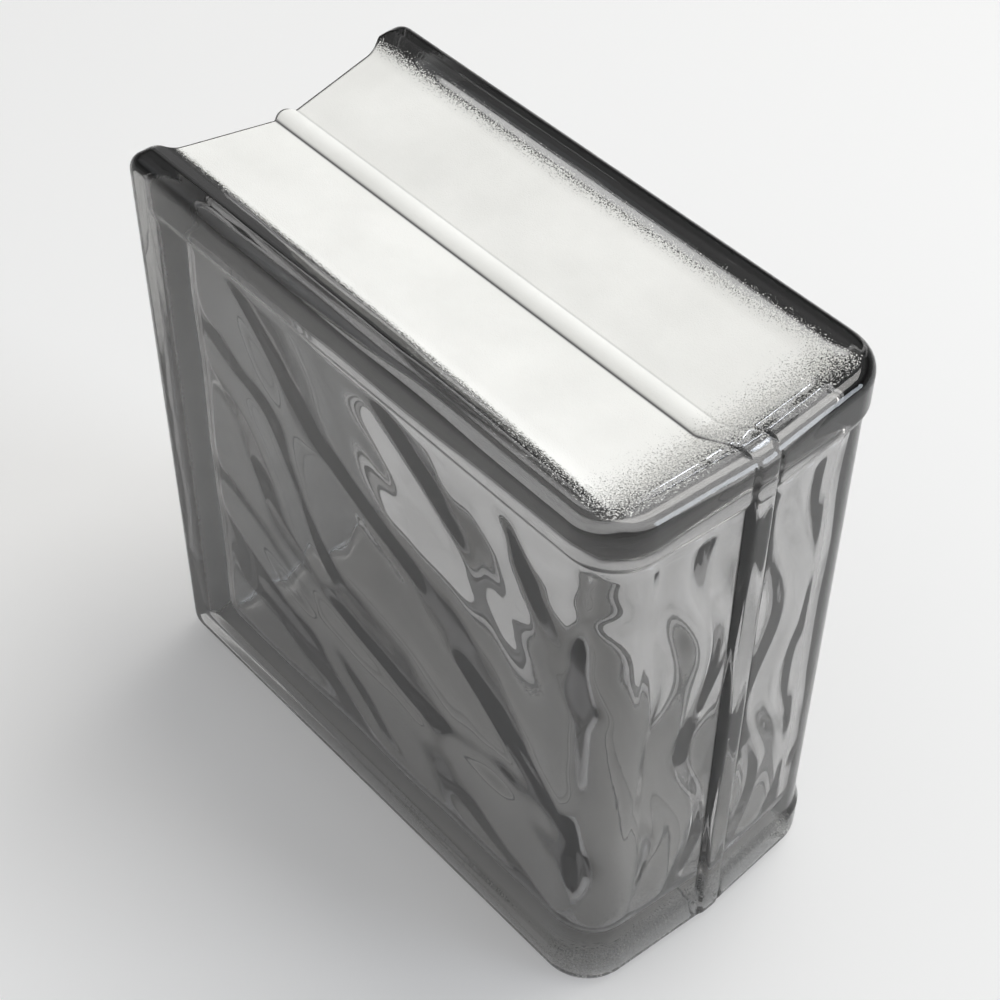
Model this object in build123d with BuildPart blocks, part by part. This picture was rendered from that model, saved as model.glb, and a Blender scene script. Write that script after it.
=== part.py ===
from build123d import *
from math import ceil, cos, hypot, pi, radians, sin, tan
import os

# Hollow glass end block: two pressed halves fused at a seam, three mortar edges and one rounded finished end.
# Frame: +Z up, -Y the front face, +X the finished end, origin under the middle of the block on the floor.

# Outside sizes
block_width = 196.85
block_height = 196.85
block_depth = 98.42

# Outer edges and the finished end
edge_round = 4.2
side_corner_round = 6.0
end_corner_round = 15.5
end_draft_degrees = 3.7

# Face panels, which lie a little behind the rims
rim_height = 13.0
panel_recess = 1.3
panel_slope_run = 4.0
panel_corner_round = 6.0

# Mortar channels on the top, the left side and the bottom
lip_width = 6.6
lip_round = 4.0
lip_ramp_degrees = 29.0
channel_depth = 8.3
channel_floor_degrees = 6.7
channel_foot_round = 12.0
channel_corner_round = 18.0

# Bead along the seam of the two halves
bead_radius = 6.0
bead_height = 1.7
bead_end_height = 0.3
bead_root = 1.1
bead_bend_round = 5.0
bead_end_round = 3.0

# Sealed air space
face_thickness = 9.0
wall_thickness = 6.6
cavity_draft_degrees = 4.0
cavity_round = 7.0

# Waves of the inner faces: a leaning main wave that meanders, and a cross wave
wave_height = 0.6
wave_length = 46.0
wave_lean_degrees = 52.0
meander_length = 110.0
meander_width = 8.0
cross_height = 0.3
cross_length = 72.0
cross_lean_degrees = -20.0
wave_grid_step = 6.0
wave_tolerance = 0.06

# White film on the mortar edges
film_thickness = 0.4
film_half_width = 36.5
film_end_gap = 14.0

# How far every cutting tool runs past what it cuts
overrun = 30.0

half_width = block_width / 2
half_depth = block_depth / 2
seam_end_x = half_width - bead_end_height
front_end_x = seam_end_x - half_depth * tan(radians(end_draft_degrees))
lip_y = half_depth - lip_width
lip_end_x = seam_end_x - lip_width
inner_face_y = half_depth - panel_recess - face_thickness
ramp_slope = tan(radians(lip_ramp_degrees))
floor_slope = tan(radians(channel_floor_degrees))
turned_over = Axis((0, 0, block_height / 2), (1, 0, 0))


def wave(across, along):
    """How far the inner face stands in from its mean plane, in a frame that leans with the main wave."""
    turn = radians(cross_lean_degrees - wave_lean_degrees)
    crossing = across * cos(turn) + along * sin(turn)
    across += meander_width * sin(2 * pi * along / meander_length)
    main_wave = wave_height * sin(2 * pi * across / wave_length)
    return main_wave + cross_height * sin(2 * pi * crossing / cross_length)


def wave_face():
    """The wavy inner face of the front half, larger than the air space, its grid along the main wave."""
    lean = radians(wave_lean_degrees)
    leaning = Plane((0, -inner_face_y, block_height / 2), x_dir=(cos(lean), 0, sin(lean)), z_dir=(0, -1, 0))
    reach = hypot(block_width, block_height)
    count = ceil(reach / wave_grid_step)
    places = [reach * i / count - reach / 2 for i in range(count + 1)]
    points = [[leaning.from_local_coords((u, v, -wave(u, v))) for v in places] for u in places]
    return Face.make_surface_from_array_of_points(points, tol=wave_tolerance, min_deg=3)


def top_channel_tool(inset):
    """Cutter of the front half of the top channel, with its walls moved in by the inset."""
    floor_side = Plane((0, 0, block_height - channel_depth), z_dir=(0, floor_slope, 1)).offset(inset)
    front_side = Plane((0, -lip_y, block_height), z_dir=(0, ramp_slope, 1)).offset(inset)
    lean = radians(end_draft_degrees)
    end_dir = (-ramp_slope * cos(lean), ramp_slope * sin(lean), 1)
    end_side = Plane((lip_end_x, 0, block_height), z_dir=end_dir).offset(inset)
    with BuildPart() as tool:
        with BuildSketch(Plane.XY.offset(block_height)):
            Rectangle(block_width + 2 * overrun, half_depth, align=(Align.CENTER, Align.MAX))
        extrude(amount=-2 * channel_depth)
        split(bisect_by=floor_side)
        split(bisect_by=front_side)
        split(bisect_by=end_side)
        corner = tool.edges().filter_by(lambda e: e.center().Z < block_height).sort_by_distance(
            (front_end_x, -half_depth, block_height)
        )[0]
        fillet(corner, channel_corner_round - inset)
        channel_floor = tool.faces().sort_by(Axis.Z)[0]
        foot = channel_floor.edges().filter_by(lambda e: e.center().Y < -bead_radius)
        fillet(foot.filter_by(lambda e: e.center().X > -half_width), channel_foot_round - inset)
        with BuildSketch(Plane.XY.offset(block_height)):
            Rectangle(block_width + 2 * overrun, half_depth + overrun, align=(Align.CENTER, Align.MAX))
        extrude(amount=overrun)
        mouth = tool.edges().filter_by_position(Axis.Z, block_height, block_height)
        mouth = mouth.filter_by(lambda e: -half_depth < e.center().Y < -bead_radius)
        fillet(mouth.filter_by(lambda e: abs(e.center().X) < half_width), lip_round)
    return tool.part


def left_channel_tool(inset):
    """Cutter of the front half of the left channel, with the same section as the top one."""
    depth = channel_depth - inset / cos(radians(channel_floor_degrees))
    mouth_y = lip_y - inset / sin(radians(lip_ramp_degrees))
    foot_y = (mouth_y * ramp_slope - depth) / (ramp_slope - floor_slope)
    foot_depth = depth - foot_y * floor_slope
    with BuildPart() as tool:
        with BuildSketch(Plane.XY.offset(-overrun)) as section:
            with BuildLine():
                Polyline(
                    (depth - half_width, 0),
                    (foot_depth - half_width, -foot_y),
                    (-half_width, -mouth_y),
                    (-half_width, -half_depth - overrun),
                    (-half_width - overrun, -half_depth - overrun),
                    (-half_width - overrun, 0),
                    close=True,
                )
            make_face()
            foot = section.vertices().sort_by_distance((foot_depth - half_width, -foot_y))[0]
            fillet(foot, channel_foot_round - inset)
            mouth = section.vertices().sort_by_distance((-half_width, -mouth_y))[0]
            fillet(mouth, lip_round)
        extrude(amount=block_height + 2 * overrun)
    return tool.part


def mortar_tool(inset):
    """Cutter of all three mortar channels, both halves."""
    top_tool = top_channel_tool(inset)
    left_tool = left_channel_tool(inset)
    with BuildPart() as tool:
        add(top_tool)
        add(left_tool)
        add(mirror(top_tool, about=Plane.XY.offset(block_height / 2), mode=Mode.PRIVATE))
        mirror(about=Plane.XZ)
    return tool.part


def seam_bead(growth):
    """Low round bead that follows the seam all round the block, made larger by the growth."""
    left_x = channel_depth - half_width
    ramp_foot_x = lip_end_x - channel_depth / ramp_slope
    end_x = half_width - bead_height
    lip_z = bead_height
    up_bends = [bead_bend_round, bead_bend_round, bead_end_round]
    with BuildPart() as bead:
        with BuildLine(Plane.XZ) as seam:
            FilletPolyline(
                (0, channel_depth),
                (ramp_foot_x, channel_depth),
                (lip_end_x, lip_z),
                (end_x, lip_z),
                (end_x, block_height - lip_z),
                (lip_end_x, block_height - lip_z),
                (ramp_foot_x, block_height - channel_depth),
                (left_x, block_height - channel_depth),
                (left_x, channel_depth),
                radius=[0] + up_bends + up_bends[::-1] + [0, 0],
                close=True,
            )
        with BuildSketch(Plane(seam.line @ 0, x_dir=(0, 1, 0), z_dir=seam.line % 0)):
            with Locations((0, bead_radius - bead_height)):
                Circle(bead_radius + growth)
            with Locations((0, bead_root)):
                Rectangle(overrun, overrun, align=(Align.CENTER, Align.MIN), mode=Mode.SUBTRACT)
        sweep(path=seam.line, transition=Transition.RIGHT)
    return bead.part


# Recess that sets the panel of the front face and of the finished end behind the rims
with BuildPart() as panel_cut:
    with BuildSketch(Plane.XY.offset(rim_height)) as band:
        with BuildLine():
            Polyline(
                (rim_height - half_width, panel_recess - half_depth),
                (front_end_x - panel_recess, panel_recess - half_depth),
                (seam_end_x - panel_recess, 0),
                (half_width + overrun, 0),
                (half_width + overrun, -half_depth - overrun),
                (rim_height - half_width, -half_depth - overrun),
                close=True,
            )
        make_face()
        inner_corner = band.vertices().sort_by_distance((front_end_x, -half_depth))[0]
        fillet(inner_corner, end_corner_round - panel_recess)
    extrude(amount=block_height - 2 * rim_height)
    fillet(panel_cut.faces().sort_by(Axis.X)[0].edges().filter_by(Axis.Y), panel_corner_round)
    panel = panel_cut.faces().filter_by(Axis.Y).sort_by(Axis.Y)[-2]
    chamfer(panel.edges().sort_by(Axis.X)[0], panel_slope_run, panel_recess, reference=panel)

# Air space of the front half, closed at the front by the wavy inner face
inner_wave = wave_face()
with BuildPart() as air_space:
    side = channel_depth + wall_thickness
    right_x = seam_end_x - panel_recess - wall_thickness
    with BuildSketch(Plane.XZ):
        with BuildLine():
            Polyline(
                (side - half_width, side),
                (right_x, side),
                (right_x, block_height - side),
                (side - half_width, block_height - side),
                close=True,
            )
        make_face()
    extrude(amount=inner_face_y + wave_height + cross_height + 2 * wave_tolerance)
    walls = air_space.faces() - air_space.faces().filter_by(Axis.Y)
    draft(walls, Plane.XZ, -cavity_draft_degrees)
    fillet(air_space.edges() - air_space.faces().sort_by(Axis.Y)[-1].edges(), cavity_round)
    extrude(inner_wave, amount=overrun, dir=(0, -1, 0), mode=Mode.SUBTRACT)

# Front half, from the seam plane to the front face, with its panel and its air space cut
with BuildPart() as half:
    with BuildSketch() as plan:
        with BuildLine():
            Polyline(
                (-half_width, 0),
                (-half_width, -half_depth),
                (front_end_x, -half_depth),
                (seam_end_x, 0),
                close=True,
            )
        make_face()
        fillet(plan.vertices().group_by(Axis.Y)[0].sort_by(Axis.X)[-1], end_corner_round)
    extrude(amount=block_height)
    fillet(half.faces().sort_by(Axis.X)[0].edges().filter_by(Axis.Y), side_corner_round)
    fillet(half.faces().sort_by(Axis.Y)[0].edges().sort_by(Axis.X)[0], edge_round)
    add(panel_cut.part, mode=Mode.SUBTRACT)
    add(air_space.part, mode=Mode.SUBTRACT)

# The whole block: the front half, the same half turned over as the back, and the bead on their seam
channels = mortar_tool(0)
bead = seam_bead(0)
with BuildPart() as glass_body:
    add(half.part)
    add(half.part.rotate(turned_over, 180))
    add(channels, mode=Mode.SUBTRACT)
    add(bead)

# Space that the film leaves open over the channels and the bead
inner_channels = mortar_tool(film_thickness)
inner_bead = seam_bead(film_thickness)
with BuildPart() as open_space:
    add(inner_channels)
    add(inner_bead, mode=Mode.SUBTRACT)

# Film on the channels and on the bead, clear of the lips and of the finished end
with BuildPart() as edge_coating:
    film_end_x = lip_end_x - film_end_gap
    with BuildSketch():
        with BuildLine():
            Polyline(
                (-half_width, -film_half_width),
                (film_end_x, -film_half_width),
                (film_end_x, film_half_width),
                (-half_width, film_half_width),
                close=True,
            )
        make_face()
    extrude(amount=block_height)
    add(channels, mode=Mode.INTERSECT)
    add(open_space.part, mode=Mode.SUBTRACT)
    add(bead, mode=Mode.SUBTRACT)

os.makedirs("parts", exist_ok=True)
for piece, name in ((glass_body, "glass_body"), (edge_coating, "edge_coating")):
    piece.part.label = name
    export_step(piece.part, f"parts/{name}.step")
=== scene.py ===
from math import cos, pi, radians, sin, sqrt, tan

import bpy
import numpy as np
from mathutils import Matrix, Vector


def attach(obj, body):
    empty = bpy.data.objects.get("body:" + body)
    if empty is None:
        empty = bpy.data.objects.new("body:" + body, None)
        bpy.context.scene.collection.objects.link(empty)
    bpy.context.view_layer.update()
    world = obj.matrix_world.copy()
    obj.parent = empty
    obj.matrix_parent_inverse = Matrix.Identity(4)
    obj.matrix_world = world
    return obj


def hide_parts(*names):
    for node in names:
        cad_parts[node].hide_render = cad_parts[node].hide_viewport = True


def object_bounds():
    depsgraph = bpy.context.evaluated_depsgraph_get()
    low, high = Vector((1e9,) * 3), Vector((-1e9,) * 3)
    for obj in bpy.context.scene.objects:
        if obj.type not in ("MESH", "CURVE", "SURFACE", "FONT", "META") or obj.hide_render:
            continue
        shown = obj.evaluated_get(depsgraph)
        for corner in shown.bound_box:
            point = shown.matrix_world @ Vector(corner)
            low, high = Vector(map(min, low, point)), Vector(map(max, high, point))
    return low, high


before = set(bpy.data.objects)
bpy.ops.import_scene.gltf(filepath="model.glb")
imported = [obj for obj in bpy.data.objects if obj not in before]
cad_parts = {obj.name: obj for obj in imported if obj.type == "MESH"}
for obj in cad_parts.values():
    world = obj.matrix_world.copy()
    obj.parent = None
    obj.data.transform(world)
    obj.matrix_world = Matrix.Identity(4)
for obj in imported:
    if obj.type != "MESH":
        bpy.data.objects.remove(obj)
cad_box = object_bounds()

# Hollow glass end block: -Y is the front face and +X the finished end.
# Lengths are in millimetres, as in the part's source, until a mesh is made.
# The stage, the lamps and the camera are in metres.
MM = 0.001

# Outside sizes, from the frame, to a thousandth of a millimetre
HALF_WIDTH, HALF_DEPTH, HEIGHT = (round(length / MM, 3) for length in cad_box[1])
FAR_INSIDE = -HALF_WIDTH

# Outer edges and the finished end
EDGE_ROUND = 4.2
SIDE_ROUND = 6.0
END_ROUND = 15.5
END_DRAFT = radians(3.7)
END_TAN, END_COS, END_SIN = tan(END_DRAFT), cos(END_DRAFT), sin(END_DRAFT)

# Panels behind the rims
RIM = 13.0
RECESS = 1.3
SLOPE_RUN = 4.0

# Mortar channels
LIP_WIDTH = 6.6
LIP_RAMP = tan(radians(29.0))
CHANNEL_DEPTH = 8.3
FLOOR_SLOPE = tan(radians(6.7))

# How softly the faces of a channel run into each other
FOOT_BLEND = 1.03
LIP_BLEND = 0.57
CORNER_BLEND = 4.8
HUMP_BLEND = 1.6
LEAST_BLEND = 0.001

# Slight fall of the lips, at the finished end and inside the front and back edges
END_LIP_DROP = 0.08
LIP_SINK = 0.08
LIP_SINK_Y = 46.5

# Seam bead, which is a flat-topped ridge between two crevices at the finished end
BEAD_ROUND = 6.0
BEAD_HEIGHT = 1.7
BEAD_END_HEIGHT = 0.3
BEAD_END_HALF = 4.3
BEAD_END_POWER = 6
BEAD_END_REACH_SHARE = 1.2
CREASE_Y = 4.5
CREASE_WIDTH = 0.6
CREASE_DEPTH = 0.7
SEAM_ZONE = 6.5

# Places that follow from these sizes
SEAM_X = HALF_WIDTH - BEAD_END_HEIGHT
LIP_Y = HALF_DEPTH - LIP_WIDTH
LIP_X = SEAM_X - LIP_WIDTH
RAMP_FOOT_X = LIP_X - CHANNEL_DEPTH / LIP_RAMP
CORNER_Y = END_ROUND - HALF_DEPTH
CORNER_X = SEAM_X + CORNER_Y * END_TAN - END_ROUND / END_COS

# Sealed air space
FACE_THICKNESS = 9.0
WALL_THICKNESS = 6.6
INNER_Y = HALF_DEPTH - RECESS - FACE_THICKNESS
CAVITY_ROUND = 7.0
CAVITY_TAN = tan(radians(4.0))

# Waves of the inner faces: a leaning main wave that meanders, and a cross wave
WAVE_HEIGHT, WAVE_LENGTH, WAVE_LEAN = 0.6, 46.0, radians(52.0)
MEANDER_WIDTH, MEANDER_LENGTH = 8.0, 110.0
CROSS_HEIGHT, CROSS_LENGTH, CROSS_LEAN = 0.3, 72.0, radians(-20.0)

# Ridges pressed in the inner faces. Each shows a dark line where its upper side is steepest.
# A row gives x and height of both ends of that line, from the middle of the face, then the ridge's width and
# height.
RIDGES = (
    (-66, 47, -46, 34, 6.5, 1.3),
    (-46, 34, -22, -9, 5.5, 1.05),
    (-70, -13, -35, -32, 6.0, 1.05),
    (-13, 37, 15, 22, 6.0, 1.1),
    (8, 72, 34, 52, 5.5, 1.1),
    (-54, 72, -41, 58, 5.0, 0.8),
    (-20, -25, 19, -36, 6.0, 1.1),
    (19, -36, 70, -28, 6.5, 1.0),
    (57, 68, 66, 52, 6.0, 1.1),
    (-80, -79, -55, -81, 5.0, 0.8),
    (41, -3, 66, -21, 5.5, 0.9),
    (-17, -48, 8, -68, 6.0, 0.9),
    (45, -62, 72, -76, 6.0, 0.9),
)
RIDGE_END = 8.0
STEEPEST_SHARE = sqrt(0.5)

# Fainter dimples and ridges between them, on a jittered grid
MARK_SEED = 5
MARK_STEP = 25.0
MARKS_A_SIDE = 8
MARK_JITTER = 9.0
MARK_LEAN, MARK_LEAN_SPREAD = radians(-38.0), radians(22.0)
MARK_LENGTHS = (13.0, 30.0)
MARK_WIDTHS = (5.0, 9.0)
MARK_HEIGHTS = (0.15, 0.45)
MARK_BEND, MARK_BEND_LENGTH = 4.0, 60.0

# Upright streaks pressed in the inner face of the finished end, which meander, and a ripple across them
STREAK_HEIGHT, STREAK_LENGTH = 0.8, 21.0
STREAK_BEND, STREAK_BEND_LENGTH, STREAK_BEND_START = 5.0, 75.0, 0.4
STREAK_REACH, STREAK_FADE_POWER = 34.0, 4
RIPPLE_HEIGHT, RIPPLE_LENGTH, RIPPLE_TILT = 0.25, 41.0, 0.1


def smooth_min(a, b, blend):
    share = np.clip(0.5 + 0.5 * (b - a) / blend, 0, 1)
    return b + (a - b) * share - blend * share * (1 - share)


def smooth_max(a, b, blend):
    return -smooth_min(-a, -b, blend)


def ease(t):
    """0 to 1 with a level start and end."""
    t = np.clip(t, 0, 1)
    return t * t * (3 - 2 * t)


def drop(inset, radius):
    """How far a quarter round falls, at a distance in from its edge."""
    to_middle = radius - np.clip(inset, 0, radius)
    return radius - np.sqrt(np.maximum(radius * radius - to_middle * to_middle, 0))


def quarter(radius, steps):
    """Distances in from an edge at even turns of a quarter round."""
    return radius * (1 - np.cos(np.linspace(0, pi / 2, steps + 1)))


# The outside of the glass


def bead_rise(y):
    """Height of the bead over its foot line, far below it past the bead's sides."""
    rise = np.sqrt(np.maximum(BEAD_ROUND**2 - y * y, 0)) - (BEAD_ROUND - BEAD_HEIGHT)
    return np.where(np.abs(y) < BEAD_ROUND, rise, FAR_INSIDE)


def end_crest(y):
    """X of the flat-topped bead of the finished end, far inside the block past the bead's sides."""
    share = np.abs(y) / BEAD_END_HALF
    ridge = BEAD_HEIGHT * (1 - share**BEAD_END_POWER)
    return HALF_WIDTH - BEAD_HEIGHT + np.where(share < BEAD_END_REACH_SHARE, ridge, FAR_INSIDE)


def crease(y):
    """Depth of the fine crevices that flank the bead at the finished end."""
    return CREASE_DEPTH * np.exp(-(((np.abs(y) - CREASE_Y) / CREASE_WIDTH) ** 2))


def channel_section(y):
    """Depth of a mortar channel across its width, with the seam bead."""
    from_seam = np.abs(y)
    ramp = (LIP_Y - from_seam) * LIP_RAMP
    depth = smooth_min(CHANNEL_DEPTH - from_seam * FLOOR_SLOPE, ramp, FOOT_BLEND)
    depth = smooth_max(depth, np.zeros_like(depth), LIP_BLEND)
    return np.minimum(depth, CHANNEL_DEPTH - bead_rise(y))


def top_channel(x, y):
    """Depth of the top channel, which the finished end closes with a rounded ramp."""
    from_seam = np.abs(y)
    end_ramp = LIP_RAMP * (END_COS * (LIP_X - x) - END_SIN * from_seam)
    ramp = smooth_min((LIP_Y - from_seam) * LIP_RAMP, end_ramp, CORNER_BLEND)
    depth = smooth_min(CHANNEL_DEPTH - from_seam * FLOOR_SLOPE, ramp, FOOT_BLEND)
    depth = smooth_max(depth, np.zeros_like(depth), LIP_BLEND)
    seam = np.interp(x, (RAMP_FOOT_X, LIP_X), (CHANNEL_DEPTH, BEAD_HEIGHT))
    depth = np.maximum(np.minimum(depth, seam - bead_rise(y)), 0)
    return depth + crease(y) * ease((x - LIP_X + LIP_WIDTH) / LIP_WIDTH)


def end_outline(y):
    """Plan outline of the finished end, with the seam bead."""
    from_seam = np.abs(y)
    line = SEAM_X - from_seam * END_TAN
    reach = np.clip(from_seam + CORNER_Y, 0, END_ROUND)
    arc = CORNER_X + np.sqrt(END_ROUND**2 - reach**2)
    x = np.where(from_seam > END_ROUND * END_SIN - CORNER_Y, arc, line)
    return np.maximum(x, end_crest(y)) - crease(y)


def edge_inset(x, y):
    """Distance in from the plan outline at the front, the back and the finished end."""
    from_seam = np.abs(y)
    straight = np.minimum(HALF_DEPTH - from_seam, (SEAM_X - from_seam * END_TAN - x) * END_COS)
    straight = np.maximum(straight, end_crest(y) - x)
    past_x, past_y = x - CORNER_X, from_seam + CORNER_Y
    rounded = END_ROUND - np.hypot(past_x, past_y)
    straight = np.minimum(straight, HALF_DEPTH - from_seam)
    return np.where((past_x > 0) & (past_y > 0), rounded, straight)


def top_drop(x, y):
    """How far the top of the block lies under the lip plane."""
    front = drop(HALF_DEPTH - np.abs(y), EDGE_ROUND)
    left_round = SIDE_ROUND - front
    to_middle = np.clip(SIDE_ROUND - (x + HALF_WIDTH), 0, left_round)
    left = front + left_round - np.sqrt(np.maximum(left_round**2 - to_middle * to_middle, 0))
    hump = np.clip(left - front, LEAST_BLEND, HUMP_BLEND)
    right = END_LIP_DROP * ease((x - RAMP_FOOT_X) / LIP_WIDTH) + drop(edge_inset(x, y), EDGE_ROUND)
    channel = top_channel(x, y)
    fall = np.where(x < 0, smooth_max(channel, left, hump), np.maximum(channel, right))
    return np.maximum(fall, LIP_SINK * ease(LIP_SINK_Y - np.abs(y)))


def panel_mask(x, z):
    """1 on the panels that lie behind the rims, 0 on the rims."""
    across = ease((x + HALF_WIDTH - RIM) / SLOPE_RUN)
    return across * ease((z - RIM) / SLOPE_RUN) * ease((HEIGHT - RIM - z) / SLOPE_RUN)


def plan_grid(front, back, left, right):
    """Plan grid between four runs of points that share their corners."""
    u = ((front[:, 0] - front[0, 0]) / (front[-1, 0] - front[0, 0]))[:, None, None]
    v = ((left[:, 1] - left[0, 1]) / (left[-1, 1] - left[0, 1]))[None, :, None]
    grid = (1 - v) * front[:, None] + v * back[:, None] + (1 - u) * left[None] + u * right[None]
    first_end = (1 - v) * front[0] + v * back[0]
    last_end = (1 - v) * front[-1] + v * back[-1]
    return grid - (1 - u) * first_end - u * last_end


def rim_loop(columns, rows):
    """Grid places of the boundary of a plan grid, once round."""
    loop = [(i, 0) for i in range(columns)]
    loop += [(columns - 1, j) for j in range(1, rows)]
    loop += [(i, rows - 1) for i in range(columns - 2, -1, -1)]
    loop += [(0, j) for j in range(rows - 2, 0, -1)]
    return loop


def round_the_rim(grid):
    """Boundary points of a grid, once round, and the outward direction in plan at each."""
    points = np.array([grid[place] for place in rim_loop(*grid.shape[:2])])
    ahead = np.roll(points, -1, 0)[:, :2] - np.roll(points, 1, 0)[:, :2]
    ahead /= np.linalg.norm(ahead, axis=1)[:, None]
    return points, ahead[:, 1], -ahead[:, 0]


def shell(low, rows, high):
    """Vertices and faces of two grids joined by a band of rows between their boundaries."""
    nu, nv = low.shape[:2]
    loop = rim_loop(nu, nv)
    count = nu * nv
    verts = np.concatenate([low.reshape(-1, 3), high.reshape(-1, 3)] + list(rows))
    faces = []
    for i in range(nu - 1):
        for j in range(nv - 1):
            a = i * nv + j
            b, c, d = a + nv, a + nv + 1, a + 1
            faces.append((a, d, c, b))
            faces.append((count + a, count + b, count + c, count + d))
    rings = [[i * nv + j for i, j in loop]]
    for k in range(len(rows)):
        start = 2 * count + k * len(loop)
        rings.append(list(range(start, start + len(loop))))
    rings.append([count + i * nv + j for i, j in loop])
    for below, above in zip(rings, rings[1:]):
        for k in range(len(loop)):
            n = (k + 1) % len(loop)
            faces.append((below[k], below[n], above[n], above[k]))
    return verts, faces


# Columns of the outer mesh across half its depth, from the seam, closer where the bead, ramps and lips bend
BEAD_COLUMNS = np.array(
    (0.6, 1.2, 1.8, 2.3, 2.7, 3.1, 3.4, 3.6, 3.8, 4.0, 4.15, 4.3, 4.5, 4.7, 5.0, 5.4, 5.9)
)
FLOOR_COLUMNS = np.array((7.2, 9.2, 12, 16, 20, 24, 27.5, 30, 31.5))
RAMP_COLUMNS = np.concatenate([
    np.arange(32.2, 37, 0.5),
    np.arange(37.4, 41, 0.8),
    np.arange(41.4, 43.7, 0.3),
])
EDGE_STEPS = 10

# Stretch of these columns that is squeezed at the finished end, to leave room for its larger corner round
SQUEEZED = 16.0

# Columns along its width: past the left round, even ones in the middle, and in from the finished end
SIDE_STEPS = 16
LEFT_COLUMNS = np.array((0.8, 2.2, 5.0))
MIDDLE_START, MIDDLE_STEP, MIDDLE_END = 9.0, 8.0, 46.0
END_COLUMNS = np.concatenate([np.arange(4.7, 8.4, 0.5), np.arange(9.1, 26, 0.9), (27.5, 29.5, 32, 36, 42)])

# Rows of its walls up to the middle, closer where the panels slope back, and one more under the first, at a
# share of the way up from the edge
WALL_ROWS = np.concatenate([(9.0, 11.0, 12.3), np.arange(13.0, 17.2, 0.4), (17.7, 18.6, 21, 30, 50, 75)])
UNDER_ROW_SHARE = 0.35

# The mesh's corners lie halfway round the plan's corners
LEFT_CORNER = EDGE_ROUND * (1 - sin(pi / 4))
END_TURN = (pi / 2 + END_DRAFT) / 2
END_CORNER = END_ROUND * (1 - cos(END_TURN))


def front_run():
    """Plan points along the front face, from one corner to the other."""
    left_x = LEFT_CORNER - HALF_WIDTH
    right_x = CORNER_X + END_ROUND * sin(END_TURN)
    x = np.concatenate([
        left_x + quarter(SIDE_ROUND, SIDE_STEPS),
        left_x + SIDE_ROUND + LEFT_COLUMNS,
        np.arange(left_x + SIDE_ROUND + MIDDLE_START, right_x - MIDDLE_END, MIDDLE_STEP),
        (right_x - np.concatenate([quarter(EDGE_ROUND, EDGE_STEPS), END_COLUMNS]))[::-1],
    ])
    y = np.full_like(x, -HALF_DEPTH)
    past = EDGE_ROUND - HALF_WIDTH - x
    on_left = past > 0
    y[on_left] = EDGE_ROUND - HALF_DEPTH - np.sqrt(EDGE_ROUND**2 - past[on_left] ** 2)
    on_right = x > CORNER_X
    y[on_right] = CORNER_Y - np.sqrt(END_ROUND**2 - (x[on_right] - CORNER_X) ** 2)
    return np.stack([x, y], 1)


def side_runs():
    """Plan points along the left side and along the finished end, from front to back."""
    edge = (HALF_DEPTH - LEFT_CORNER - quarter(EDGE_ROUND, EDGE_STEPS))[::-1]
    half_left = np.concatenate([BEAD_COLUMNS, FLOOR_COLUMNS, RAMP_COLUMNS, edge])
    near = HALF_DEPTH - SQUEEZED
    squeeze = (HALF_DEPTH - END_CORNER - near) / (HALF_DEPTH - LEFT_CORNER - near)
    half_right = np.where(half_left > near, near + (half_left - near) * squeeze, half_left)
    left_y = np.concatenate([-half_left[::-1], [0.0], half_left])
    right_y = np.concatenate([-half_right[::-1], [0.0], half_right])
    left_x = channel_section(left_y) - HALF_WIDTH
    past = np.abs(left_y) - HALF_DEPTH + EDGE_ROUND
    on_arc = past > 0
    left_x[on_arc] = EDGE_ROUND - HALF_WIDTH - np.sqrt(EDGE_ROUND**2 - past[on_arc] ** 2)
    return np.stack([left_x, left_y], 1), np.stack([end_outline(right_y), right_y], 1)


def outer_walls(top):
    """Rows of the walls between the bottom and the top, with the panels set back from the rims."""
    rim, out_x, out_y = round_the_rim(top)
    x, y, z = rim.T
    at_seam = (np.abs(y) < SEAM_ZONE) & (x > 0)
    out_x, out_y = np.where(at_seam, 1.0, out_x), np.where(at_seam, 0.0, out_y)
    crest = np.where(at_seam, end_crest(y), FAR_INSIDE)
    under = UNDER_ROW_SHARE * (WALL_ROWS[0] - HEIGHT + z)
    rows = [np.stack([x, y, HEIGHT - z + under], 1)]
    for level in np.concatenate([WALL_ROWS, [HEIGHT / 2], (HEIGHT - WALL_ROWS)[::-1]]):
        at_level = np.full_like(x, level)
        inset = RECESS * panel_mask(x, at_level)
        rows.append(np.stack([np.maximum(x - out_x * inset, crest), y - out_y * inset, at_level], 1))
    rows.append(np.stack([x, y, z - under], 1))
    return rows


def outer_surface():
    front = front_run()
    left, right = side_runs()
    front[0], front[-1] = left[0], right[0]
    plan = plan_grid(front, front * (1, -1), left, right)
    x, y = plan[..., 0], plan[..., 1]
    fall = top_drop(x, y)
    top = np.stack([x, y, HEIGHT - fall], -1)
    return shell(np.stack([x, y, fall], -1), outer_walls(top), top)


# The air space


def relief_marks():
    """Middle, lean, length, width and height of each faint dimple or ridge of the pressed relief."""
    draw = np.random.default_rng(MARK_SEED)
    marks = []
    for i in range(MARKS_A_SIDE):
        for j in range(MARKS_A_SIDE):
            middle = (np.array((i, j)) - (MARKS_A_SIDE - 1) / 2) * MARK_STEP
            middle = middle + draw.uniform(-MARK_JITTER, MARK_JITTER, 2)
            lean = MARK_LEAN + draw.normal(0, MARK_LEAN_SPREAD)
            height = draw.uniform(*MARK_HEIGHTS) * draw.choice((-1, 1))
            marks.append((middle, lean, draw.uniform(*MARK_LENGTHS), draw.uniform(*MARK_WIDTHS), height))
    return marks


MARKS = relief_marks()


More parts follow.
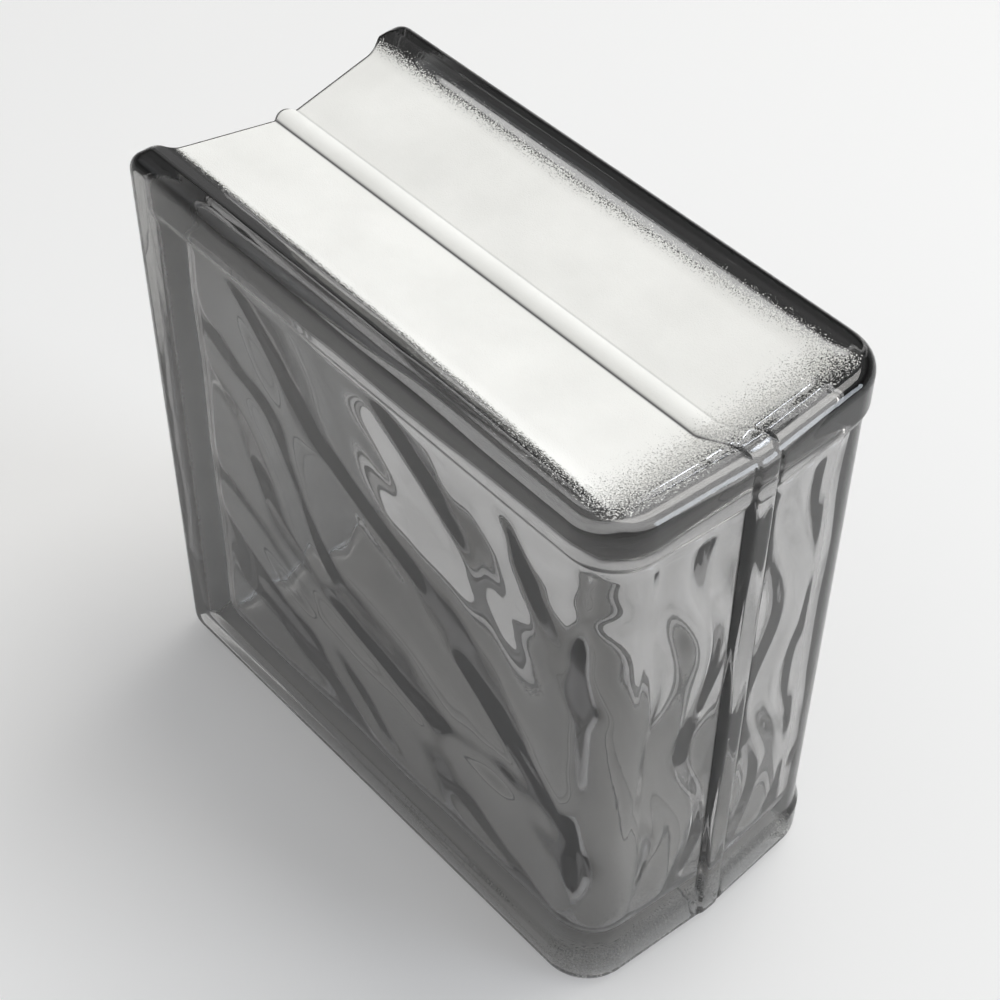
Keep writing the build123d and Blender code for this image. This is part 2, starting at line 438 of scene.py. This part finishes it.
def relief(x, h):
    """Height of the pressed ridges and marks, at a place from the middle of the face."""
    total = np.zeros_like(x)
    for x0, h0, x1, h1, width, height in RIDGES:
        length = np.hypot(x1 - x0, h1 - h0)
        way_x, way_h = (x1 - x0) / length, (h1 - h0) / length
        along = (x - (x0 + x1) / 2) * way_x + (h - (h0 + h1) / 2) * way_h
        across = (h - h0) * way_x - (x - x0) * way_h + width * STEEPEST_SHARE
        past = np.maximum(np.abs(along) - length / 2, 0)
        total = total + height * np.exp(-((past / RIDGE_END) ** 2) - (across / width) ** 2)
    for middle, lean, length, width, height in MARKS:
        along = (x - middle[0]) * cos(lean) + (h - middle[1]) * sin(lean)
        across = (h - middle[1]) * cos(lean) - (x - middle[0]) * sin(lean)
        across = across + MARK_BEND * np.sin(2 * pi * along / MARK_BEND_LENGTH + middle[0])
        total = total + height * np.exp(-((along / length) ** 2) - (across / width) ** 2)
    return total


def wave(x, z):
    """How far the front inner face stands in from its mean plane."""
    h = z - HEIGHT / 2
    across = x * cos(WAVE_LEAN) + h * sin(WAVE_LEAN)
    along = h * cos(WAVE_LEAN) - x * sin(WAVE_LEAN)
    turn = CROSS_LEAN - WAVE_LEAN
    crossing = CROSS_HEIGHT * np.sin(2 * pi * (across * cos(turn) + along * sin(turn)) / CROSS_LENGTH)
    across = across + MEANDER_WIDTH * np.sin(2 * pi * along / MEANDER_LENGTH)
    return WAVE_HEIGHT * np.sin(2 * pi * across / WAVE_LENGTH) + crossing + relief(x, h)


def end_relief(y, z):
    """How far the streaks and the ripple stand out from the inner face of the finished end."""
    bend = STREAK_BEND * np.sin(2 * pi * z / STREAK_BEND_LENGTH + STREAK_BEND_START)
    fade = 1 - (y / STREAK_REACH) ** STREAK_FADE_POWER
    streaks = STREAK_HEIGHT * np.sin(2 * pi * (y + bend) / STREAK_LENGTH) * fade
    return streaks + RIPPLE_HEIGHT * np.sin(2 * pi * z / RIPPLE_LENGTH + RIPPLE_TILT * y)


# Columns of its faces, round the edges and between them, and rows of its walls as shares of its half depth
CAVITY_STEPS = 12
FACE_COLUMNS, FACE_MARGIN = 110, 1.0
CAVITY_ROW_SHARES = np.linspace(0.97, -0.97, 41)

# The streaks lie on rows within this share of its half depth, where the wall looks this much along x
STREAK_ROW_SHARE = 0.95
STREAK_FACING = 0.9

# Outline of its faces, where the walls run into the edge rounds, with mesh corners halfway round its corners
CAVITY_FACE_Y = INNER_Y - CAVITY_ROUND
CAVITY_SIDE = CHANNEL_DEPTH + WALL_THICKNESS + CAVITY_FACE_Y * CAVITY_TAN
CAVITY_LEFT = CAVITY_SIDE - HALF_WIDTH
CAVITY_RIGHT = SEAM_X - RECESS - WALL_THICKNESS - CAVITY_FACE_Y * CAVITY_TAN
CAVITY_LOW, CAVITY_HIGH = CAVITY_SIDE, HEIGHT - CAVITY_SIDE
CAVITY_CORNER = CAVITY_ROUND * (1 - sin(pi / 4))


def cavity_run(length):
    """Places along one side of the air space's face and how far its corner rounds bow in there."""
    round_part = CAVITY_CORNER + quarter(CAVITY_ROUND, CAVITY_STEPS)
    margin = CAVITY_CORNER + CAVITY_ROUND + FACE_MARGIN
    along = np.concatenate([
        round_part, np.linspace(margin, length - margin, FACE_COLUMNS), (length - round_part)[::-1],
    ])
    return along, drop(np.minimum(along, length - along), CAVITY_ROUND)


def cavity_plan():
    """Grid of x and z over the face of the air space, between its four sides."""
    across, bow_across = cavity_run(CAVITY_RIGHT - CAVITY_LEFT)
    up, bow_up = cavity_run(CAVITY_HIGH - CAVITY_LOW)
    return plan_grid(
        np.stack([CAVITY_LEFT + across, CAVITY_LOW + bow_across], 1),
        np.stack([CAVITY_LEFT + across, CAVITY_HIGH - bow_across], 1),
        np.stack([CAVITY_LEFT + bow_up, CAVITY_LOW + up], 1),
        np.stack([CAVITY_RIGHT - bow_up, CAVITY_LOW + up], 1),
    )


def cavity_walls(front, back):
    """Rows of the air space's drafted walls, with the streaks on the wall of the finished end."""
    rim, out_x, out_z = round_the_rim(front)
    back_rim = round_the_rim(back)[0]
    rows = []
    for share in CAVITY_ROW_SHARES:
        y = rim[:, 2] * share if share > 0 else -back_rim[:, 2] * share
        grow = (CAVITY_FACE_Y - np.abs(y)) * CAVITY_TAN
        streaked = (out_x > STREAK_FACING) & (abs(share) < STREAK_ROW_SHARE)
        grow = grow + np.where(streaked, end_relief(y, rim[:, 1]), 0)
        rows.append(np.stack([rim[:, 0] + out_x * grow, rim[:, 1] + out_z * grow, y], 1))
    return rows


def cavity_surface():
    plan = cavity_plan()
    x, z = plan[..., 0], plan[..., 1]
    in_x = np.minimum(x - CAVITY_LEFT, CAVITY_RIGHT - x)
    in_z = np.minimum(z - CAVITY_LOW, CAVITY_HIGH - z)
    in_corner = (in_x < CAVITY_ROUND) & (in_z < CAVITY_ROUND)
    rounded = CAVITY_ROUND - np.hypot(CAVITY_ROUND - in_x, CAVITY_ROUND - in_z)
    fall = drop(np.where(in_corner, rounded, np.minimum(in_x, in_z)), CAVITY_ROUND)
    front = np.stack([x, z, wave(x, z) + fall - INNER_Y], -1)
    back = np.stack([x, z, INNER_Y - wave(x, HEIGHT - z) - fall], -1)
    verts, faces = shell(front, cavity_walls(front, back), back)
    # The plan is x, z and its rise is y, which is left-handed, so the faces already look into the air.
    return verts[:, (0, 2, 1)], faces


# The film: how far it stands on the glass, where whole and where thin, and how deep its under side lies in it
FILM_OUT = 0.38
FILM_THIN = 0.05
FILM_IN = 0.06

# Half its width, its gap to the round of the finished end, and where its cover thins out there
FILM_Y = 45.2
FILM_END_GAP = 0.4
FADE_X = (64.0, 72.0, 78.0, 86.0, 93.0, 97.0)
FADE_COVER = (1.6, 1.0, 0.66, 0.36, 0.12, -0.3)

# Edge of its whole cover from the seam, along x, and how wide that edge is feathered
FRONT_X, FRONT_EDGE = (-92, -25, 36, 67, 82), (34.4, 35.4, 37.2, 39.3, 40.4)
BACK_X, BACK_EDGE = (-92, 30, 71), (37.0, 37.4, 38.7)
FRONT_FEATHER = 1.1
BACK_FEATHER = 3.0

# Thin haze of specks past the front edge, along x, its fall per millimetre and its gap to the film's side
HAZE_X, HAZE_COVER = (-92, -40, 10, 80), (-0.1, 0.0, 0.12, 0.28)
HAZE_FALL = 0.035
HAZE_GAP = 0.4

# Worn ridge between the top and the left channel, and the ends of the cover's scale
RIDGE_BARE = 0.7
RIDGE_RISE = 3.0
HALF_COVER = 0.5
LEAST_COVER, MOST_COVER = -0.6, 1.6

# Dark line of painted shade along the crevices at the bead's feet, fainter at the back, also standing for the
# coat being thin there over dark glass
SHADE_LINE_Y = 3.7
SHADE_LINE_WIDTH = 0.4
BACK_SHADE_LINE_SHARE = 0.3

# Columns of its mesh across half its width, rows past the ridge and in from the finished end, and plain rows
# between them
FILM_RAMP_COLUMNS = np.concatenate([np.arange(32.2, 41, 0.7), np.arange(41.4, FILM_Y, 0.4)])
FILM_COLUMNS = np.concatenate([[0.0], BEAD_COLUMNS, FLOOR_COLUMNS, FILM_RAMP_COLUMNS, [FILM_Y]])
RIDGE_ROWS = np.array((0, 0.3, 0.6, 0.9, 1.2, 2.0, 4.0))
PLAIN_START, PLAIN_END = 8.0, 30.0
TOP_PLAIN_ROWS, SIDE_PLAIN_ROWS = 24, 12
END_ROWS = np.arange(0, PLAIN_END, 0.8)


def film_cover(x, y, from_ridge):
    """How well the coat covers the glass: over 1 is whole, under 0 is bare."""
    in_front = y < 0
    from_seam = np.abs(y)
    edge = np.where(in_front, np.interp(x, FRONT_X, FRONT_EDGE), np.interp(x, BACK_X, BACK_EDGE))
    side = HALF_COVER + (edge - from_seam) / np.where(in_front, FRONT_FEATHER, BACK_FEATHER) / 2
    haze = np.interp(x, HAZE_X, HAZE_COVER) - HAZE_FALL * (from_seam - edge)
    haze = np.minimum(haze, FILM_Y - HAZE_GAP - from_seam)
    side = np.where(in_front, np.maximum(side, haze), side)
    fade = np.interp(x, FADE_X, FADE_COVER)
    ridge = HALF_COVER + RIDGE_RISE * (from_ridge - RIDGE_BARE)
    return np.clip(np.minimum(np.minimum(side, fade), ridge), LEAST_COVER, MOST_COVER)


def film_rows(y):
    """Rows of the film from the finished end along the bottom, up the left side and back along the top.

    Each is the place of its points on the glass, the way out from it, their cover and the room over them.
    """
    depth = channel_section(y)
    ridge_x = depth - HALF_WIDTH
    end = np.minimum(end_outline(y), SEAM_X - np.abs(y) * END_TAN) - EDGE_ROUND - FILM_END_GAP
    length = end - ridge_x
    plain = PLAIN_START + np.linspace(0, 1, TOP_PLAIN_ROWS)[:, None] * (length - PLAIN_START - PLAIN_END)
    past_ridge = RIDGE_ROWS[:, None] + np.zeros_like(y)
    runs = np.concatenate([past_ridge, plain, length - END_ROWS[::-1, None]])

    low, high = [], []
    for run in runs:
        x = ridge_x + run
        fall = top_drop(x, y)
        cover = film_cover(x, y, run)
        low.append((np.stack([x, y, fall], 1), (0, 0, -1), cover, fall))
        high.append((np.stack([x, y, HEIGHT - fall], 1), (0, 0, 1), cover, fall))
    side_plain = np.linspace(PLAIN_START, HEIGHT / 2 - CHANNEL_DEPTH, SIDE_PLAIN_ROWS)
    rises = np.concatenate([RIDGE_ROWS, side_plain])
    lower, upper = [], []
    for rise in rises[1:]:
        cover = film_cover(ridge_x, y, np.full_like(y, rise))
        z = np.minimum(depth + rise, HEIGHT / 2)
        lower.append((np.stack([ridge_x, y, z], 1), (-1, 0, 0), cover, depth))
        upper.append((np.stack([ridge_x, y, HEIGHT - depth - rise], 1), (-1, 0, 0), cover, depth))
    return low[::-1] + lower + upper[-2::-1] + high


def ribbon_faces(rows, columns):
    """Faces of a closed ribbon of two layers of rows and columns, the outer layer first."""
    under = rows * columns
    faces = []
    for i in range(rows - 1):
        for j in range(columns - 1):
            a = i * columns + j
            b, c, d = a + 1, a + columns + 1, a + columns
            faces += [(a, b, c, d), (under + a, under + d, under + c, under + b)]
        for j in (0, columns - 1):
            a = i * columns + j
            b = a + columns
            side = (a, b, under + b, under + a)
            faces.append(side if j == 0 else side[::-1])
    for j in range(columns - 1):
        for i in (0, rows - 1):
            a = i * columns + j
            end = (a, a + 1, under + a + 1, under + a)
            faces.append(end if i else end[::-1])
    return faces


def film_surface():
    """Vertices and faces of the film, with the cover and the painted crevice shade at each vertex."""
    y = np.concatenate([-FILM_COLUMNS[:0:-1], FILM_COLUMNS])
    outer, inner, covers = [], [], []
    for places, way_out, cover, room in film_rows(y):
        stand = np.minimum(FILM_THIN + (FILM_OUT - FILM_THIN) * ease(cover), room)
        way_out = np.array(way_out, float)
        outer.append(places + stand[:, None] * way_out)
        inner.append(places - FILM_IN * way_out)
        covers.append(cover)
    # Painted shade: a dark line along the bead's crevices, full at the front foot and fainter at the back
    line = np.exp(-(((np.abs(y) - SHADE_LINE_Y) / SHADE_LINE_WIDTH) ** 2)) * np.where(y < 0, 1, BACK_SHADE_LINE_SHARE)
    faces = ribbon_faces(len(outer), len(y))
    return np.concatenate(outer + inner), faces, np.concatenate(covers * 2), np.tile(line, 2 * len(outer))


# Materials


def new_material(name):
    material = bpy.data.materials.new(name)
    material.use_nodes = True
    tree = material.node_tree
    return material, tree, tree.nodes["Principled BSDF"], tree.nodes["Material Output"]


def noise(tree, scale, detail):
    node = tree.nodes.new("ShaderNodeTexNoise")
    node.inputs["Scale"].default_value = scale
    node.inputs["Detail"].default_value = detail
    place = tree.nodes.new("ShaderNodeTexCoord")
    tree.links.new(place.outputs["Object"], node.inputs["Vector"])
    return node.outputs["Fac"]


def calculate(tree, operation, first, second, clamp=False):
    """A Math node's output, from links or plain numbers."""
    node = tree.nodes.new("ShaderNodeMath")
    node.operation = operation
    node.use_clamp = clamp
    for socket, value in zip(node.inputs, (first, second)):
        if isinstance(value, (int, float)):
            socket.default_value = value
        else:
            tree.links.new(value, socket)
    return node.outputs[0]


def bump(tree, shader, height, strength, distance):
    node = tree.nodes.new("ShaderNodeBump")
    node.inputs["Strength"].default_value = strength
    node.inputs["Distance"].default_value = distance
    tree.links.new(height, node.inputs["Height"])
    tree.links.new(node.outputs["Normal"], shader.inputs["Normal"])


def colour_ramp(tree, value, *stops):
    """Colour between stops, each a position and a colour."""
    ramp = tree.nodes.new("ShaderNodeValToRGB")
    elements = ramp.color_ramp.elements
    for extra in stops[2:]:
        elements.new(extra[0])
    for element, (position, colour) in zip(elements, stops):
        element.position = position
        element.color = (*colour, 1)
    tree.links.new(value, ramp.inputs["Fac"])
    return ramp.outputs["Color"]


def attribute(tree, name):
    node = tree.nodes.new("ShaderNodeAttribute")
    node.attribute_name = name
    return node.outputs["Fac"]


# Clear glass with a grey tint, colours with alpha and the tint's density per metre
GLASS_IOR = 1.52
GLASS_TINT = (0.39, 0.385, 0.385, 1)
GLASS_TINT_DENSITY = 60.0
GLASS_CLEAR = (0.95, 0.95, 0.95, 1)
GLASS_RIPPLE_SCALE, GLASS_RIPPLE_DETAIL = 55.0, 2.0
GLASS_RIPPLE_STRENGTH, GLASS_RIPPLE_DISTANCE = 0.06, 0.001

# White spray: its roughness, its two tones, its dark line of painted crevice shade, its specks and its grain
COAT_ROUGHNESS = 0.75
COAT_SHADE_SCALE, COAT_SHADE_DETAIL = 40.0, 3.0
COAT_GREYER = (0.3, (0.86, 0.86, 0.835))
COAT_WHITER = (0.65, (0.93, 0.93, 0.905))
COAT_PAINTED_SHADE = (0.06, 0.06, 0.065, 1)
SPECK_SCALE, SPECK_DETAIL, SPECK_SPREAD = 2300.0, 2.0, 2.4
SPECK_EDGE = 5.0
NOISE_MIDDLE = 0.5
HALF_ALPHA = 0.5
GRAIN_SCALE, GRAIN_DETAIL = 2600.0, 3.0
GRAIN_STRENGTH, GRAIN_DISTANCE = 0.35, 0.0003


def glass_material():
    """Clear tinted glass, which lets the lamps and the light of matt surfaces straight through."""
    material, tree, shader, output = new_material("pressed_glass")
    shader.inputs["Base Color"].default_value = (1, 1, 1, 1)
    shader.inputs["Roughness"].default_value = 0.0
    shader.inputs["IOR"].default_value = GLASS_IOR
    shader.inputs["Transmission Weight"].default_value = 1.0
    tint = tree.nodes.new("ShaderNodeVolumeAbsorption")
    tint.inputs["Color"].default_value = GLASS_TINT
    tint.inputs["Density"].default_value = GLASS_TINT_DENSITY
    tree.links.new(tint.outputs["Volume"], output.inputs["Volume"])
    ripple = noise(tree, GLASS_RIPPLE_SCALE, GLASS_RIPPLE_DETAIL)
    bump(tree, shader, ripple, GLASS_RIPPLE_STRENGTH, GLASS_RIPPLE_DISTANCE)
    path = tree.nodes.new("ShaderNodeLightPath")
    clear = tree.nodes.new("ShaderNodeBsdfTransparent")
    clear.inputs["Color"].default_value = GLASS_CLEAR
    either = tree.nodes.new("ShaderNodeMixShader")
    light = calculate(tree, "MAXIMUM", path.outputs["Is Shadow Ray"], path.outputs["Is Diffuse Ray"])
    tree.links.new(light, either.inputs["Fac"])
    tree.links.new(shader.outputs["BSDF"], either.inputs[1])
    tree.links.new(clear.outputs["BSDF"], either.inputs[2])
    tree.links.new(either.outputs["Shader"], output.inputs["Surface"])
    return material


def coat_material():
    """Matt white spray with a dark line of painted shade along the bead: opaque where the cover is full,
    breaking up into fine specks where it thins out.
    """
    material, tree, shader, _ = new_material("sprayed_coat")
    shader.inputs["Roughness"].default_value = COAT_ROUGHNESS
    paint = colour_ramp(tree, noise(tree, COAT_SHADE_SCALE, COAT_SHADE_DETAIL), COAT_GREYER, COAT_WHITER)
    # Painted shade: darkens the paint towards a near-black line along the bead's crevices
    line = tree.nodes.new("ShaderNodeMixRGB")
    line.inputs["Color2"].default_value = COAT_PAINTED_SHADE
    tree.links.new(paint, line.inputs["Color1"])
    tree.links.new(attribute(tree, "crevice_painted_shade"), line.inputs["Fac"])
    tree.links.new(line.outputs["Color"], shader.inputs["Base Color"])
    speck = calculate(tree, "SUBTRACT", noise(tree, SPECK_SCALE, SPECK_DETAIL), NOISE_MIDDLE)
    speck = calculate(tree, "MULTIPLY", speck, SPECK_SPREAD)
    cover = calculate(tree, "SUBTRACT", attribute(tree, "cover"), HALF_COVER)
    cover = calculate(tree, "SUBTRACT", cover, speck)
    alpha = calculate(tree, "ADD", calculate(tree, "MULTIPLY", cover, SPECK_EDGE), HALF_ALPHA, clamp=True)
    tree.links.new(alpha, shader.inputs["Alpha"])
    bump(tree, shader, noise(tree, GRAIN_SCALE, GRAIN_DETAIL), GRAIN_STRENGTH, GRAIN_DISTANCE)
    return material


# The pieces

GLASS_SHARP_DEGREES = 40
FILM_SHARP_DEGREES = 50


def make_piece(name, verts, faces, material, sharp_degrees):
    mesh = bpy.data.meshes.new(name)
    mesh.from_pydata((np.asarray(verts) * MM).tolist(), [], faces)
    mesh.polygons.foreach_set("use_smooth", [True] * len(mesh.polygons))
    mesh.set_sharp_from_angle(angle=radians(sharp_degrees))
    mesh.materials.append(material)
    piece = bpy.data.objects.new(name, mesh)
    bpy.context.scene.collection.objects.link(piece)
    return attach(piece, "root")


def set_attribute(piece, name, values):
    made = piece.data.attributes.new(name, "FLOAT", "POINT")
    made.data.foreach_set("value", values)


outer_verts, outer_faces = outer_surface()
inner_verts, inner_faces = cavity_surface()
glass_verts = np.concatenate([outer_verts, inner_verts])
glass_faces = outer_faces + [tuple(len(outer_verts) + k for k in face) for face in inner_faces]
block = make_piece("glass_block", glass_verts, glass_faces, glass_material(), GLASS_SHARP_DEGREES)
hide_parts("glass_body")

film_verts, film_faces, film_covers, film_painted_shade = film_surface()
sheet = make_piece("sprayed_edge_film", film_verts, film_faces, coat_material(), FILM_SHARP_DEGREES)
set_attribute(sheet, "cover", film_covers)
set_attribute(sheet, "crevice_painted_shade", film_painted_shade)
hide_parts("edge_coating")

# The stage: a pale floor just under the block, in metres, and a room that shows in the glass
FLOOR_HALF = 12.0
FLOOR_GAP = 0.0003
FLOOR_COLOUR = (0.82, 0.82, 0.82, 1)
FLOOR_GLOW = 0.12
WORLD_LIGHT = (0.36, 0.36, 0.36, 1)
ROOM_HORIZON = (0.1, (0.4, 0.4, 0.4))
ROOM_WALL = (0.45, (0.12, 0.12, 0.12))
ROOM_CEILING = (0.9, (1, 1, 1))


def seen_ray(tree):
    """1 for rays from the camera, a reflection or through glass, 0 for light on surfaces."""
    path = tree.nodes.new("ShaderNodeLightPath")
    first = calculate(tree, "MAXIMUM", path.outputs["Is Camera Ray"], path.outputs["Is Glossy Ray"])
    return calculate(tree, "MAXIMUM", first, path.outputs["Is Transmission Ray"])


def floor_material():
    """Pale matt floor that keeps the block's shadow, a little brighter where it is seen."""
    material, tree, shader, output = new_material("studio_floor")
    tree.nodes.remove(shader)
    paint = tree.nodes.new("ShaderNodeBsdfDiffuse")
    paint.inputs["Color"].default_value = FLOOR_COLOUR
    glow = tree.nodes.new("ShaderNodeEmission")
    glow.inputs["Color"].default_value = (1, 1, 1, 1)
    tree.links.new(calculate(tree, "MULTIPLY", seen_ray(tree), FLOOR_GLOW), glow.inputs["Strength"])
    both = tree.nodes.new("ShaderNodeAddShader")
    tree.links.new(paint.outputs["BSDF"], both.inputs[0])
    tree.links.new(glow.outputs["Emission"], both.inputs[1])
    tree.links.new(both.outputs["Shader"], output.inputs["Surface"])
    return material


def studio_floor():
    mesh = bpy.data.meshes.new("floor")
    signs = ((-1, -1), (1, -1), (1, 1), (-1, 1))
    mesh.from_pydata([(FLOOR_HALF * x, FLOOR_HALF * y, 0) for x, y in signs], [], [(0, 1, 2, 3)])
    mesh.materials.append(floor_material())
    floor = bpy.data.objects.new("floor", mesh)
    floor.location.z = -FLOOR_GAP
    bpy.context.scene.collection.objects.link(floor)


def studio_world():
    """Even soft light; seen in the glass, a room with grey walls and a white ceiling."""
    world = bpy.data.worlds.new("studio")
    bpy.context.scene.world = world
    world.use_nodes = True
    tree = world.node_tree
    place = tree.nodes.new("ShaderNodeTexCoord")
    split = tree.nodes.new("ShaderNodeSeparateXYZ")
    tree.links.new(place.outputs["Generated"], split.inputs[0])
    room = colour_ramp(tree, split.outputs["Z"], ROOM_HORIZON, ROOM_WALL, ROOM_CEILING)
    pick = tree.nodes.new("ShaderNodeMixRGB")
    pick.inputs["Color1"].default_value = WORLD_LIGHT
    tree.links.new(seen_ray(tree), pick.inputs["Fac"])
    tree.links.new(room, pick.inputs["Color2"])
    tree.links.new(pick.outputs["Color"], tree.nodes["Background"].inputs["Color"])


# Lamps, in metres and watts, each turned towards a point in the block
LAMP_AIM = Vector((0, 0, 0.1))
LAMPS = (
    # name, place, width, power, colour
    ("key", (0.1, 0.9, 2.0), 1.3, 25.0, (1.0, 0.985, 0.95)),
    ("window", (1.7, 1.1, 0.8), 0.9, 17.0, (0.86, 0.92, 1.0)),
    ("fill", (-0.8, -0.7, 1.1), 0.9, 0.8, (0.9, 0.94, 1.0)),
)


def area_light(name, place, width, power, colour):
    lamp = bpy.data.lights.new(name, "AREA")
    lamp.color = colour
    lamp.size = width
    lamp.energy = power
    holder = bpy.data.objects.new(name, lamp)
    holder.location = place
    holder.rotation_euler = (Vector(place) - LAMP_AIM).to_track_quat("Z", "Y").to_euler()
    bpy.context.scene.collection.objects.link(holder)


# The photo's camera: its lens, its place and the ways its picture runs
CAMERA_LENS = 76.6
CAMERA_SENSOR = 36.0
CAMERA_PLACE = (0.3170, -0.2818, 0.5520)
CAMERA_RIGHT = Vector((0.6614, 0.7501, 0.0071))
CAMERA_DOWN = Vector((0.5485, -0.4771, -0.6868))
CAMERA_AHEAD = Vector((-0.5117, 0.4581, -0.7269))


def photo_camera():
    data = bpy.data.cameras.new("photo_camera")
    data.lens = CAMERA_LENS
    data.sensor_width = CAMERA_SENSOR
    camera = bpy.data.objects.new("photo_camera", data)
    turn = Matrix((CAMERA_RIGHT, -CAMERA_DOWN, -CAMERA_AHEAD)).transposed()
    camera.matrix_world = Matrix.Translation(CAMERA_PLACE) @ turn.to_4x4()
    bpy.context.scene.collection.objects.link(camera)
    bpy.context.scene.camera = camera


studio_floor()
studio_world()
for lamp_row in LAMPS:
    area_light(*lamp_row)
photo_camera()
bpy.context.scene.view_settings.view_transform = "Standard"
